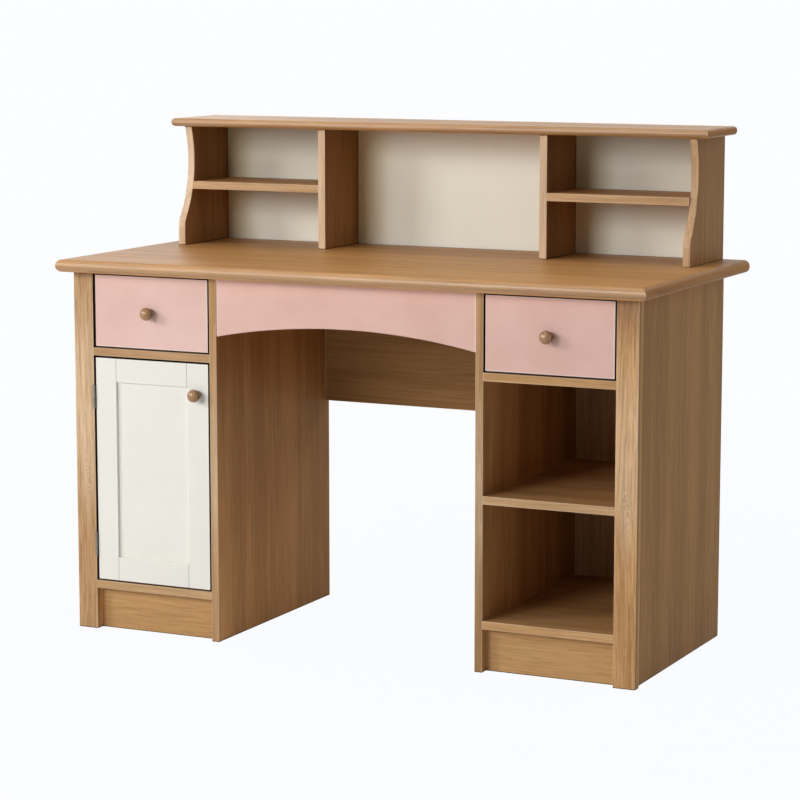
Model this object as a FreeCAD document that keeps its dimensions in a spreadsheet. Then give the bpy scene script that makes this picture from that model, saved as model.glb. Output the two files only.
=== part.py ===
import FreeCAD, Part
import Sketcher
import math
import os
import re

# Student desk with a hutch: two pedestals under one top, a drawer in each, a door on
# the left one, open shelves in the right one, and a five-bay hutch on the back of the top.
# Millimetres, +Z up, origin on the floor under the middle of the desk top,
# +X to the right of someone who sits at the desk, -Y towards them.

doc = FreeCAD.newDocument("StudentDesk")

# ---------------------------------------------------------------- driving dimensions

SIZES = {
    # desk top
    "desk_height": 750,
    "top_length": 1250,
    "top_depth": 585,
    "top_thickness": 25,
    "edge_flat": 1,
    "front_overhang": 32,
    # pedestals
    "board": 16,
    "arris": 1,
    "side_overhang": 23,
    "carcass_depth": 482,
    "knee_width": 554,
    "post_width": 44,
    "post_depth": 20,
    "post_reveal": 6,
    "plinth_height": 84,
    "plinth_setback": 20,
    "drawer_bay_height": 151,
    "open_shelf_height": 324,
    "cupboard_shelf_height": 310,
    "cupboard_shelf_setback": 30,
    "apron_depth": 114.5,
    "apron_rise": 28,
    "apron_setback": 2,
    "modesty_depth": 302,
    # drawers
    "front_thickness": 18,
    "front_gap": 3,
    "drawer_top_gap": 4,
    "drawer_side": 15,
    "drawer_side_height": 118,
    "drawer_length": 410,
    "drawer_back": 12,
    "drawer_back_inset": 6,
    "drawer_bottom": 5,
    "drawer_bottom_rise": 8,
    "drawer_side_gap": 3,
    "drawer_lift": 8,
    "drawer_travel": 320,
    "housing": 5,
    "runner_height": 16,
    "runner_start": 24,
    "runner_back_gap": 2,
    "runner_groove": 7,
    "stop_width": 30,
    "stop_depth": 20,
    "stop_overlap": 5,
    "slide_clearance": 0.3,
    "runner_play": 1,
    # door
    "door_frame": 48,
    "door_panel": 6,
    "door_panel_recess": 6,
    "door_groove": 8,
    "door_arris": 0.5,
    "door_knob_drop": 62,
    # knobs
    "knob_radius": 12.75,
    "knob_head": 22,
    "knob_projection": 28,
    "knob_neck": 6,
    "knob_foot": 8.5,
    "knob_collar": 2.5,
    "knob_screw_radius": 2,
    "knob_screw_grip": 12,
    "screw_head_radius": 4,
    "screw_head_height": 2.4,
    # hinges
    "hinge_height": 46,
    "hinge_radius": 2.5,
    "hinge_pin_radius": 1.2,
    "hinge_pin_clearance": 0.05,
    "hinge_cap": 1,
    "hinge_leaf": 0.9,
    "hinge_leaf_depth": 16,
    "hinge_screw_setback": 9,
    "hinge_screw_inset": 7.5,
    "hinge_low_inset": 49,
    "hinge_high_inset": 57,
    "knuckle_gap": 0.2,
    "wood_screw_radius": 1.3,
    "wood_screw_head": 2.2,
    "wood_screw_length": 12,
    "screw_clearance": 0.05,
    # catch
    "catch_width": 12,
    "catch_depth": 16,
    "catch_height": 40,
    "catch_drop": 90,
    "strike_thickness": 1,
    # hutch
    "hutch_inset": 56,
    "hutch_side_height": 247,
    "hutch_foot_depth": 193,
    "hutch_bay_setback": 33,
    "hutch_centre_width": 478,
    "hutch_shelf_height": 116,
    "hutch_back": 6,
    "hutch_top_thickness": 17,
    "hutch_top_overhang": 25,
    "hutch_top_setback": 18,
    "scroll_foot": 35,
    "scroll_radius": 210,
    "scroll_setback": 43,
    "scroll_height": 177,
    "scroll_round": 2,
    # dowels and shelf pegs
    "dowel_radius": 4,
    "dowel_clearance": 0.1,
    "dowel_edge_grip": 20,
    "dowel_face_grip": 10,
    "dowel_end_gap": 0.5,
    "dowel_inset": 60,
    "hutch_dowel_inset": 30,
    "peg_radius": 2.5,
    "peg_length": 16,
    "peg_grip": 8,
}

# Where the pieces stand, worked out from the sizes above.
LAYOUT = {
    "top_under": "desk_height - top_thickness",
    "top_round": "(top_thickness - edge_flat) / 2",
    "top_front": "0 - top_depth / 2",
    "top_back": "top_depth / 2",
    "front": "top_front + front_overhang",
    "back": "front + carcass_depth",
    "back_board_face": "back - board",
    "inner_face": "knee_width / 2",
    "inner_side_mid": "inner_face + board / 2",
    "bay_inner": "inner_face + board",
    "post_outer": "top_length / 2 - side_overhang",
    "bay_outer": "post_outer - post_width",
    "side_outer": "post_outer - post_reveal",
    "side_inner": "side_outer - board",
    "outer_side_mid": "side_outer - board / 2",
    "bay_mid": "(bay_inner + bay_outer) / 2",
    "bay_width": "bay_outer - bay_inner",
    "deck_mid": "(bay_inner + side_inner) / 2",
    "deck_width": "side_inner - bay_inner",
    "behind_post": "side_inner - bay_outer",
    "bottom_top": "plinth_height + board",
    "divider_top": "top_under - drawer_bay_height",
    "divider_under": "divider_top - board",
    # drawers
    "drawer_front_width": "bay_width - 2 * front_gap",
    "drawer_front_low": "divider_top + front_gap",
    "drawer_front_height": "top_under - drawer_top_gap - drawer_front_low",
    "drawer_front_mid": "drawer_front_low + drawer_front_height / 2",
    "box_width": "bay_width - 2 * drawer_side_gap",
    "box_inside": "box_width - 2 * drawer_side",
    "box_low": "divider_top + drawer_lift",
    "box_high": "box_low + drawer_side_height",
    "box_start": "front + front_thickness - housing",
    "box_end": "box_start + drawer_length",
    "box_floor": "box_low + drawer_bottom_rise",
    "box_floor_top": "box_floor + drawer_bottom",
    "box_back": "box_end - drawer_back_inset - drawer_back",
    "groove_height": "runner_height + slide_clearance + runner_play",
    "groove_low": "box_low + (drawer_side_height - groove_height) / 2",
    "runner_low": "groove_low + groove_height - slide_clearance - runner_height",
    "runner_front": "front + runner_start",
    "runner_reach": "drawer_side_gap + runner_groove - slide_clearance",
    "runner_length": "back_board_face - runner_back_gap - runner_front",
    "stop_back": "box_back - drawer_travel - slide_clearance",
    "stop_drop": "top_under - box_high + stop_overlap",
    # door
    "door_width": "bay_width - 2 * front_gap",
    "door_low": "bottom_top + front_gap",
    "door_high": "divider_under - front_gap",
    "door_height": "door_high - door_low",
    "door_left": "0 - bay_outer + front_gap",
    "door_right": "0 - bay_inner - front_gap",
    "door_knob_height": "door_high - door_knob_drop",
    "rail_length": "door_width - 2 * door_frame",
    "hinge_x": "door_left - front_gap / 2",
    "hinge_y": "front - hinge_radius - slide_clearance",
    "hinge_low": "door_low + hinge_low_inset",
    "hinge_high": "door_high - hinge_high_inset - hinge_height",
    "knuckle": "(hinge_height - 2 * knuckle_gap) / 3",
    "knuckle_step": "knuckle + knuckle_gap",
    "catch_low": "door_high - catch_drop - catch_height / 2",
    # hutch
    "hutch_outer": "top_length / 2 - hutch_inset",
    "hutch_front": "top_back - hutch_foot_depth",
    "hutch_bay_front": "hutch_front + hutch_bay_setback",
    "hutch_back_face": "top_back - hutch_back",
    "hutch_bay_depth": "hutch_back_face - hutch_bay_front",
    "hutch_high": "desk_height + hutch_side_height",
    "hutch_top_round": "(hutch_top_thickness - edge_flat) / 2",
    "hutch_side_inner": "hutch_outer - board",
    "hutch_side_mid": "hutch_outer - board / 2",
    "hutch_divider_mid": "(hutch_centre_width + board) / 2",
    "hutch_divider_outer": "hutch_centre_width / 2 + board",
    "hutch_shelf_mid": "(hutch_side_inner + hutch_divider_outer) / 2",
    "hutch_shelf_width": "hutch_side_inner - hutch_divider_outer",
    "hutch_shelf_low": "desk_height + hutch_shelf_height",
    "dowel_length": "dowel_edge_grip + dowel_face_grip",
}

sheet = doc.addObject("Spreadsheet::Sheet", "Sizes")
for row, (alias, size) in enumerate(SIZES.items(), start=1):
    sheet.set(f"A{row}", alias)
    sheet.set(f"B{row}", str(size))
    sheet.setAlias(f"B{row}", alias)
doc.recompute()

# ---------------------------------------------------------------- tools for the pieces

pieces = {}      # label of each sub-part and the object that holds its shape
drillings = {}   # label of a sub-part and the holes that are drilled in it
dowels = []

TURNED = {
    "x": FreeCAD.Rotation(FreeCAD.Vector(0, 1, 0), 90),
    "y": FreeCAD.Rotation(FreeCAD.Vector(1, 0, 0), -90),
    "z": FreeCAD.Rotation(),
}
FACES = {
    "left": ("XMin", "XMax"), "right": ("XMax", "XMin"),
    "front": ("YMin", "YMax"), "back": ("YMax", "YMin"),
    "bottom": ("ZMin", "ZMax"), "top": ("ZMax", "ZMin"),
}


def expression(text):
    """Write out the layout names in a text down to the cells of the sheet."""
    def written_out(match):
        word = match.group(0)
        if word in LAYOUT:
            return "(" + expression(LAYOUT[word]) + ")"
        return "Sizes." + word if word in SIZES else word
    return re.sub(r"[a-z_]+", written_out, text)


def bind(thing, **texts):
    for name, text in texts.items():
        thing.setExpression(name, expression(text))


def place(thing, x, y, z):
    for axis, text in zip("xyz", (x, y, z)):
        thing.setExpression("Placement.Base." + axis, expression(text))


def lies_on(edge, shape, face):
    near, far = FACES[face]
    plane = getattr(shape.BoundBox, near)
    reach = max(abs(getattr(edge.BoundBox, end) - plane) for end in (near, far))
    return reach < 0.01


def round_edges(body, radius, wanted, bevelled=False):
    """Round, or bevel, the edges of a body's last feature for which wanted(edge, shape) holds."""
    doc.recompute()
    base = body.Tip
    names = [
        f"Edge{number}"
        for number, edge in enumerate(base.Shape.Edges, start=1)
        if wanted(edge, base.Shape)
    ]
    kind, size_name = ("Chamfer", "Size") if bevelled else ("Fillet", "Radius")
    softened = body.newObject("PartDesign::" + kind, body.Name + "_softened")
    softened.Base = (base, names)
    bind(softened, **{size_name: radius})


def round_corners(body, radius, corners):
    """Round the edges where two faces meet, such as "front top"."""
    pairs = [corner.split() for corner in corners]
    round_edges(
        body, radius,
        lambda edge, shape: any(all(lies_on(edge, shape, face) for face in pair) for pair in pairs),
    )


def keep(label, thing):
    thing.Label = label
    pieces[label] = thing
    return thing


def board(label, size, corner, cuts=(), rounds=(), radius="arris"):
    """A board with its low corner at the given place, box cuts in it and rounded edges."""
    body = doc.addObject("PartDesign::Body", label)
    blank = body.newObject("PartDesign::AdditiveBox", label + "_blank")
    bind(blank, Length=size[0], Width=size[1], Height=size[2])
    for number, (cut_size, cut_corner) in enumerate(cuts, start=1):
        cut = body.newObject("PartDesign::SubtractiveBox", f"{label}_cut_{number}")
        bind(cut, Length=cut_size[0], Width=cut_size[1], Height=cut_size[2])
        place(cut, *cut_corner)
    if rounds:
        round_corners(body, radius, rounds)
    place(body, *corner)
    return keep(label, body)


def rod(name, radius, length, start, along="z"):
    thing = doc.addObject("Part::Cylinder", name)
    thing.Placement.Rotation = TURNED[along]
    bind(thing, Radius=radius, Height=length)
    place(thing, *start)
    return thing


def block(name, size, corner):
    thing = doc.addObject("Part::Box", name)
    bind(thing, Length=size[0], Width=size[1], Height=size[2])
    place(thing, *corner)
    return thing


def fused(name, things):
    whole = doc.addObject("Part::MultiFuse", name)
    whole.Shapes = things
    return whole


def group(name, things):
    whole = doc.addObject("Part::Compound", name)
    whole.Links = things
    return whole


def without(name, base, tool):
    rest = doc.addObject("Part::Cut", name)
    rest.Base = base
    rest.Tool = tool
    return rest


def drill(label, holes):
    drillings.setdefault(label, []).append(holes)


def dowel_row(along, face, face_side, spots, edge_piece, face_piece):
    """Dowels across a joint: along is their axis, face the joint's plane on that axis,
    face_side "+" or "-" the side on which the piece drilled in its face lies."""
    grip = "dowel_edge_grip" if face_side == "+" else "dowel_face_grip"
    for number, (first, second) in enumerate(spots, start=1):
        name = f"dowel_{edge_piece}_{face_piece}_{number}"

        def start(extra):
            low = f"{face} - {grip} - {extra}"
            return {"x": (low, first, second), "y": (first, low, second), "z": (first, second, low)}[along]

        pin = rod(name, "dowel_radius", "dowel_length", start("0"), along)
        hole = rod(
            name + "_hole", "dowel_radius + dowel_clearance",
            "dowel_length + 2 * dowel_end_gap", start("dowel_end_gap"), along,
        )
        dowels.append(pin)
        drill(edge_piece, hole)
        drill(face_piece, hole)


# ---------------------------------------------------------------- desk top and pedestals

def desk_top():
    board(
        "desk_top", ("top_length", "top_depth", "top_thickness"),
        ("0 - top_length / 2", "top_front", "top_under"),
        rounds=[f"{side} {level}" for side in ("front", "left", "right") for level in ("top", "bottom")],
        radius="top_round",
    )


def pedestal(side, sign):
    """One pedestal: side is left or right, sign -1 or 1 the side of the desk it is on."""
    outward = "right" if sign > 0 else "left"
    inward = "left" if sign > 0 else "right"

    board(
        f"{side}_corner_post", ("post_width", "post_depth", "top_under"),
        (f"{sign} * (post_outer - post_width / 2) - post_width / 2", "front", "0"),
        rounds=["front left", "front right", f"back {outward}"],
    )
    board(
        f"{side}_outer_side", ("board", "carcass_depth - post_depth", "top_under"),
        (f"{sign} * outer_side_mid - board / 2", "front + post_depth", "0"),
        rounds=[f"back {outward}"],
    )
    board(
        f"{side}_inner_side", ("board", "carcass_depth", "top_under"),
        (f"{sign} * inner_side_mid - board / 2", "front", "0"),
        rounds=["front left", "front right", f"back {inward}"],
    )
    board(
        f"{side}_back_board", ("deck_width", "board", "top_under"),
        (f"{sign} * deck_mid - deck_width / 2", "back_board_face", "0"),
    )
    board(
        f"{side}_plinth", ("deck_width", "board", "plinth_height"),
        (f"{sign} * deck_mid - deck_width / 2", "front + plinth_setback", "0"),
    )
    flush_board(f"{side}_bottom_board", sign, "plinth_height")
    flush_board(f"{side}_divider_board", sign, "divider_under")


def flush_board(label, sign, height):
    """A level board that is flush with the front and notched round the corner post."""
    notch_x = "deck_width - behind_post" if sign > 0 else "0"
    board(
        label, ("deck_width", "back_board_face - front", "board"),
        (f"{sign} * deck_mid - deck_width / 2", "front", height),
        cuts=[(("behind_post", "post_depth", "board"), (notch_x, "0", "0"))],
        rounds=["front top", "front bottom"],
    )


def cupboard_shelf():
    """The loose shelf behind the door, on four pegs."""
    shelf_depth = "back_board_face - front - cupboard_shelf_setback - front_gap"
    board(
        "cupboard_shelf",
        ("deck_width - 2 * front_gap", shelf_depth, "board"),
        (
            "0 - deck_mid - deck_width / 2 + front_gap",
            "front + cupboard_shelf_setback",
            "cupboard_shelf_height",
        ),
        rounds=["front top", "front bottom"],
    )
    pegs = []
    for wall, start in (
        ("outer", "0 - side_inner - peg_grip"),
        ("inner", "0 - bay_inner + peg_grip - peg_length"),
    ):
        for end, depth in (
            ("front", "front + cupboard_shelf_setback + dowel_inset"),
            ("back", "back_board_face - dowel_inset"),
        ):
            spot = (start, depth, "cupboard_shelf_height - peg_radius")
            pegs.append(rod(f"peg_{wall}_{end}", "peg_radius", "peg_length", spot, "x"))
            hole = rod(f"peg_{wall}_{end}_hole", "peg_radius + dowel_clearance", "peg_length", spot, "x")
            drill(f"left_{wall}_side", hole)
    keep("shelf_pegs", group("shelf_pegs", pegs))


def new_sketch(body, role):
    sketch = body.newObject("Sketcher::SketchObject", body.Name + "_outline")
    plane = next(part for part in body.Origin.OriginFeatures if part.Role == role)
    sketch.AttachmentSupport = (plane, [""])
    sketch.MapMode = "FlatFace"
    return sketch


def hold(sketch, *rules):
    """Add constraints; the last entry of one with a size is the text that drives it."""
    for rule in rules:
        if isinstance(rule[-1], str):
            number = sketch.addConstraint(Sketcher.Constraint(*rule[:-1]))
            sketch.setExpression(f"Constraints[{number}]", expression(rule[-1]))
        else:
            sketch.addConstraint(Sketcher.Constraint(*rule))


def padded(body, sketch, length, backwards=False):
    pad = body.newObject("PartDesign::Pad", body.Name + "_pad")
    pad.Profile = sketch
    pad.Reversed = backwards
    bind(pad, Length=length)


def front_apron():
    """The rail over the knee space, with a round arch under it."""
    body = doc.addObject("PartDesign::Body", "front_apron")
    sketch = new_sketch(body, "XZ_Plane")
    width, depth, rise = SIZES["knee_width"], SIZES["apron_depth"], SIZES["apron_rise"]
    radius = (width ** 2 / 4 + rise ** 2) / (2 * rise)
    corners = [FreeCAD.Vector(x, z, 0) for x, z in ((0, 0), (0, depth), (width, depth), (width, 0))]
    crown = FreeCAD.Vector(width / 2, rise, 0)
    left, top, right = [
        sketch.addGeometry(Part.LineSegment(start, end), False)
        for start, end in zip(corners, corners[1:])
    ]
    arch = sketch.addGeometry(Part.Arc(corners[3], crown, corners[0]), False)
    hold(
        sketch,
        ("Coincident", left, 1, -1, 1),
        ("Coincident", left, 2, top, 1),
        ("Coincident", top, 2, right, 1),
        ("Coincident", right, 2, arch, 1),
        ("Coincident", arch, 2, left, 1),
        ("Vertical", left),
        ("Horizontal", top),
        ("Vertical", right),
        ("Horizontal", left, 1, right, 2),
        ("DistanceX", top, 1, top, 2, width, "knee_width"),
        ("DistanceY", left, 1, left, 2, depth, "apron_depth"),
        ("Radius", arch, radius, "((knee_width / 2) ^ 2 + apron_rise ^ 2) / (2 * apron_rise)"),
    )
    padded(body, sketch, "board", backwards=True)
    round_edges(
        body, "arris",
        lambda edge, shape: lies_on(edge, shape, "front")
        and not any(lies_on(edge, shape, face) for face in ("left", "right", "top")),
        bevelled=True,
    )
    place(body, "0 - inner_face", "front + apron_setback", "top_under - apron_depth")
    keep("front_apron", body)


def modesty_panel():
    board(
        "modesty_panel", ("knee_width", "board", "modesty_depth"),
        ("0 - inner_face", "back_board_face", "top_under - modesty_depth"),
        rounds=["front bottom", "back bottom"],
    )


# ---------------------------------------------------------------- hutch

def hutch_side(side, sign):
    """An outer side of the hutch: its front edge rises straight from the desk top,
    curls back and then leans forward again under the hutch top."""
    body = doc.addObject("PartDesign::Body", f"hutch_{side}_side")
    sketch = new_sketch(body, "YZ_Plane")
    depth, height, foot = SIZES["hutch_foot_depth"], SIZES["hutch_side_height"], SIZES["scroll_foot"]
    radius, deepest = SIZES["scroll_radius"], SIZES["scroll_height"]
    hollow = FreeCAD.Vector(SIZES["scroll_setback"] - radius, deepest, 0)
    foot_radius = (hollow.x ** 2 + (deepest - foot) ** 2 - radius ** 2) / (2 * (radius + hollow.x))
    swell = FreeCAD.Vector(foot_radius, foot, 0)
    meeting = math.atan2(swell.y - hollow.y, swell.x - hollow.x)
    lip_angle = math.asin((height - deepest) / radius)
    lip = FreeCAD.Vector(hollow.x + radius * math.cos(lip_angle), height, 0)
    upright = FreeCAD.Vector(0, 0, 1)

    def line(start, end):
        return sketch.addGeometry(Part.LineSegment(FreeCAD.Vector(*start), FreeCAD.Vector(*end)), False)

    def arc(centre, size, start, end):
        return sketch.addGeometry(Part.ArcOfCircle(Part.Circle(centre, upright, size), start, end), False)

    bottom = line((0, 0, 0), (depth, 0, 0))
    rear = line((depth, 0, 0), (depth, height, 0))
    top = line((depth, height, 0), lip)
    hollow_arc = arc(hollow, radius, meeting, lip_angle)
    swell_arc = arc(swell, foot_radius, meeting + math.pi, math.pi)
    front = line((0, foot, 0), (0, 0, 0))
    hold(
        sketch,
        ("Coincident", bottom, 1, -1, 1),
        ("Coincident", bottom, 2, rear, 1),
        ("Coincident", rear, 2, top, 1),
        ("Coincident", top, 2, hollow_arc, 2),
        ("Tangent", hollow_arc, 1, swell_arc, 1),
        ("Tangent", swell_arc, 2, front, 1),
        ("Coincident", front, 2, bottom, 1),
        ("Horizontal", bottom),
        ("Vertical", rear),
        ("Horizontal", top),
        ("Vertical", front),
        ("DistanceX", bottom, 1, bottom, 2, depth, "hutch_foot_depth"),
        ("DistanceY", rear, 1, rear, 2, height, "hutch_side_height"),
        ("DistanceY", front, 2, front, 1, foot, "scroll_foot"),
        ("Radius", hollow_arc, radius, "scroll_radius"),
        ("DistanceX", hollow_arc, 3, -1, 1, -hollow.x, "scroll_radius - scroll_setback"),
        ("DistanceY", -1, 1, hollow_arc, 3, deepest, "scroll_height"),
    )
    padded(body, sketch, "board")
    round_edges(
        body, "scroll_round",
        lambda edge, shape: any(lies_on(edge, shape, face) for face in ("left", "right"))
        and not any(lies_on(edge, shape, face) for face in ("bottom", "top", "back")),
    )
    place(body, f"{sign} * hutch_side_mid - board / 2", "hutch_front", "desk_height")
    keep(f"hutch_{side}_side", body)


def hutch_bays(side, sign):
    """The divider and the shelf on one side of the hutch."""
    board(
        f"hutch_{side}_divider", ("board", "hutch_bay_depth", "hutch_side_height"),
        (f"{sign} * hutch_divider_mid - board / 2", "hutch_bay_front", "desk_height"),
        rounds=["front left", "front right"],
    )
    board(
        f"hutch_{side}_shelf", ("hutch_shelf_width", "hutch_bay_depth", "board"),
        (f"{sign} * hutch_shelf_mid - hutch_shelf_width / 2", "hutch_bay_front", "hutch_shelf_low"),
        rounds=["front top", "front bottom"],
    )


def hutch_top_and_back():
    top_width = "2 * (hutch_outer + hutch_top_overhang)"
    top_depth = "hutch_foot_depth - hutch_top_setback"
    board(
        "hutch_top", (top_width, top_depth, "hutch_top_thickness"),
        ("0 - hutch_outer - hutch_top_overhang", "hutch_front + hutch_top_setback", "hutch_high"),
        rounds=[f"{side} {level}" for side in ("front", "left", "right") for level in ("top", "bottom")],
        radius="hutch_top_round",
    )
    board(
        "hutch_back_panel", ("2 * hutch_side_inner", "hutch_back", "hutch_side_height"),
        ("0 - hutch_side_inner", "hutch_back_face", "desk_height"),
    )


# ---------------------------------------------------------------- turned knobs

def knob(label, x, z):
    """A turned wooden knob on a front, with the screw that holds it from behind."""
    head = doc.addObject("Part::Ellipsoid", label + "_head")
    head.Placement.Rotation = TURNED["y"]
    bind(head, Radius1="knob_head / 2", Radius2="knob_radius", Radius3="knob_radius")
    place(head, x, "front - knob_projection + knob_head / 2", z)
    neck = doc.addObject("Part::Cone", label + "_neck")
    neck.Placement.Rotation = TURNED["y"]
    neck_length = "knob_projection - knob_head / 2 - knob_collar"
    bind(neck, Radius1="knob_neck", Radius2="knob_foot", Height=neck_length)
    place(neck, x, "front - knob_projection + knob_head / 2", z)
    collar = rod(label + "_collar", "knob_foot", "knob_collar", (x, "front - knob_collar", z), "y")
    turned = fused(label + "_turned", [head, neck, collar])

    shank_start = (x, "front - knob_screw_grip", z)
    shank_length = "knob_screw_grip + front_thickness"
    shank = rod(label + "_shank", "knob_screw_radius", shank_length, shank_start, "y")
    cap = rod(
        label + "_cap", "screw_head_radius", "screw_head_height", (x, "front + front_thickness", z), "y",
    )
    hole = rod(label + "_bore", "knob_screw_radius + screw_clearance", shank_length, shank_start, "y")
    keep(label, without(label, turned, hole))
    keep(label + "_screw", fused(label + "_screw", [shank, cap]))
    return hole


# ---------------------------------------------------------------- drawers

def drawer(side, sign):
    """One inset drawer that hangs on wooden runners in grooves along its sides."""
    middle = f"{sign} * bay_mid"
    front_low = ("(drawer_front_width - box_width) / 2", "box_low - drawer_front_low")
    slots = [
        (("drawer_side", "housing", "drawer_side_height"),
         (f"{front_low[0]} + {offset}", "front_thickness - housing", front_low[1]))
        for offset in ("0", "box_width - drawer_side")
    ]
    floor_slot = (
        ("box_inside + 2 * housing", "housing", "drawer_bottom"),
        (
            f"{front_low[0]} + drawer_side - housing",
            "front_thickness - housing",
            "box_floor - drawer_front_low",
        ),
    )
    board(
        f"{side}_drawer_front", ("drawer_front_width", "front_thickness", "drawer_front_height"),
        (f"{middle} - drawer_front_width / 2", "front", "drawer_front_low"),
        cuts=slots + [floor_slot],
        rounds=["front left", "front right", "front top", "front bottom"],
    )
    drill(f"{side}_drawer_front", knob(f"{side}_drawer_knob", middle, "drawer_front_mid"))

    for wall, hand in (("left", -1), ("right", 1)):
        inner, outer = ("drawer_side - housing", "0") if hand < 0 else ("0", "drawer_side - runner_groove")
        wall_left = f"{middle} + {hand} * (box_width - drawer_side) / 2 - drawer_side / 2"
        board(
            f"{side}_drawer_{wall}_side", ("drawer_side", "drawer_length", "drawer_side_height"),
            (wall_left, "box_start", "box_low"),
            cuts=[
                (("housing", "drawer_length", "drawer_bottom"), (inner, "0", "drawer_bottom_rise")),
                (("housing", "drawer_back", "drawer_side_height"),
                 (inner, "box_back - box_start", "box_floor_top - box_low")),
                (("runner_groove", "drawer_length", "groove_height"),
                 (outer, "runner_front - slide_clearance - box_start", "groove_low - box_low")),
            ],
        )
    board(
        f"{side}_drawer_back", ("box_inside + 2 * housing", "drawer_back", "box_high - box_floor_top"),
        (f"{middle} - box_inside / 2 - housing", "box_back", "box_floor_top"),
    )
    board(
        f"{side}_drawer_bottom", ("box_inside + 2 * housing", "drawer_length", "drawer_bottom"),
        (f"{middle} - box_inside / 2 - housing", "box_start", "box_floor"),
    )


def drawer_guides(side, sign):
    """The two runners that carry a drawer and reach from the pedestal's walls into its grooves."""
    reach = {"inner": "runner_reach", "outer": "behind_post + runner_reach"}
    low = {
        ("inner", 1): "bay_inner", ("outer", 1): "side_inner - behind_post - runner_reach",
        ("inner", -1): "0 - bay_inner - runner_reach", ("outer", -1): "0 - side_inner",
    }
    runners = [
        block(
            f"{side}_{wall}_runner", (reach[wall], "runner_length", "runner_height"),
            (low[wall, sign], "runner_front", "runner_low"),
        )
        for wall in ("inner", "outer")
    ]
    keep(f"{side}_drawer_runners", group(f"{side}_drawer_runners", runners))


def drawer_stops():
    """Blocks under the desk top that a drawer's back meets when it is fully open."""
    stops = [
        block(
            f"{side}_stop", ("stop_width", "stop_depth", "stop_drop"),
            (f"{sign} * bay_mid - stop_width / 2", "stop_back - stop_depth", "top_under - stop_drop"),
        )
        for side, sign in (("left", -1), ("right", 1))
    ]
    keep("drawer_stops", group("drawer_stops", stops))


# ---------------------------------------------------------------- cupboard door

def door():
    """A framed door: stiles and rails joined by stub tenons round a panel in their grooves."""
    groove_y = "door_panel_recess"
    front_edges = ["front left", "front right", "front top", "front bottom"]
    for label, left, groove_x in (
        ("door_hinge_stile", "door_left", "door_frame - door_groove"),
        ("door_latch_stile", "door_right - door_frame", "0"),
    ):
        board(
            label, ("door_frame", "front_thickness", "door_height"), (left, "front", "door_low"),
            cuts=[(("door_groove", "door_panel", "door_height"), (groove_x, groove_y, "0"))],
            rounds=front_edges, radius="door_arris",
        )
    for label, low, groove_z, tongue_z in (
        ("door_top_rail", "door_high - door_frame", "0", "door_groove"),
        ("door_bottom_rail", "door_low", "door_frame - door_groove", "0"),
    ):
        whole = board(
            label, ("rail_length", "front_thickness", "door_frame"),
            ("door_left + door_frame", "front", low),
            cuts=[(("rail_length", "door_panel", "door_groove"), ("0", groove_y, groove_z))],
            rounds=front_edges, radius="door_arris",
        )
        tenons = [
            block(
                f"{label}_tenon_{end}", ("door_groove", "door_panel", "door_frame - door_groove"),
                (start, f"front + {groove_y}", f"{low} + {tongue_z}"),
            )
            for end, start in (
                ("left", "door_left + door_frame - door_groove"),
                ("right", "door_left + door_frame + rail_length"),
            )
        ]
        whole.Label = label + "_bar"
        keep(label, fused(label + "_with_tenons", [whole] + tenons))
    panel_height = "door_height - 2 * door_frame + 2 * door_groove"
    board(
        "door_panel",
        ("rail_length + 2 * door_groove", "door_panel", panel_height),
        (
            "door_left + door_frame - door_groove",
            f"front + {groove_y}",
            "door_low + door_frame - door_groove",
        ),
    )
    drill("door_latch_stile", knob("door_knob", "door_right - door_frame / 2", "door_knob_height"))


def countersunk(name, x, y, z, facing, spare):
    """A small countersunk screw whose head fills the leaf: facing is 1 where its head looks to +X."""
    shank_start = x if facing < 0 else f"{x} - wood_screw_length"
    wide, narrow = f"wood_screw_head + {spare}", f"wood_screw_radius + {spare}"
    shank = rod(name + "_shank", narrow, "wood_screw_length", (shank_start, y, z), "x")
    head = doc.addObject("Part::Cone", name + "_head")
    head.Placement.Rotation = TURNED["x"]
    bind(
        head, Height="hinge_leaf",
        Radius1=narrow if facing > 0 else wide, Radius2=wide if facing > 0 else narrow,
    )
    place(head, x if facing > 0 else f"{x} - hinge_leaf", y, z)
    return fused(name, [shank, head])


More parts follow.
